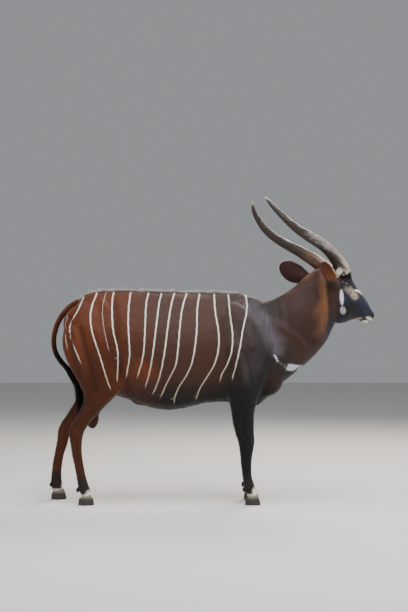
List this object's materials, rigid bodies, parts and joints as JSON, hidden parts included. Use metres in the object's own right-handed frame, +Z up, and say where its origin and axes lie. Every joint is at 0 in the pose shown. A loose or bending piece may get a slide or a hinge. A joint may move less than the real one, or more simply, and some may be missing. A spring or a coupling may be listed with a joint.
{
  "type": "bongo antelope model",
  "caption": "Standing adult male bongo antelope, life-size still model with striped flanks, lyre-shaped horns and head turned slightly left.",
  "frame": {"origin": "on the floor, under the middle of the whole model's box", "axes": "+X towards the nose, +Y to the animal's left, +Z up"},
  "size_m": [1.9446, 0.617, 1.7851],
  "materials": {
    "chestnut": "short glossy chestnut coat",
    "neck": "short brown coat",
    "face": "very short dark coat",
    "shank": "short red-brown coat",
    "foreshank": "short near-black coat",
    "ear": "short dark coat",
    "horn": "keratin, satin",
    "hoof": "keratin, satin",
    "eye": "wet gloss",
    "tail": "short coat and tuft"
  },
  "bodies": {
    "root": {"ear_left": "ear", "ear_right": "ear", "eye_left": "eye", "eye_right": "eye", "foreleg_left": "foreshank", "foreleg_right": "foreshank", "head": "face", "hindleg_left": "shank", "hindleg_right": "shank", "hoof_fore_left_left_toe": "hoof", "hoof_fore_left_right_toe": "hoof", "hoof_fore_right_left_toe": "hoof", "hoof_fore_right_right_toe": "hoof", "hoof_hind_left_left_toe": "hoof", "hoof_hind_left_right_toe": "hoof", "hoof_hind_right_left_toe": "hoof", "hoof_hind_right_right_toe": "hoof", "horn_left": "horn", "horn_right": "horn", "neck": "neck", "scrotum": "shank", "tail": "tail", "torso": "chestnut"}
  },
  "joints": []
}
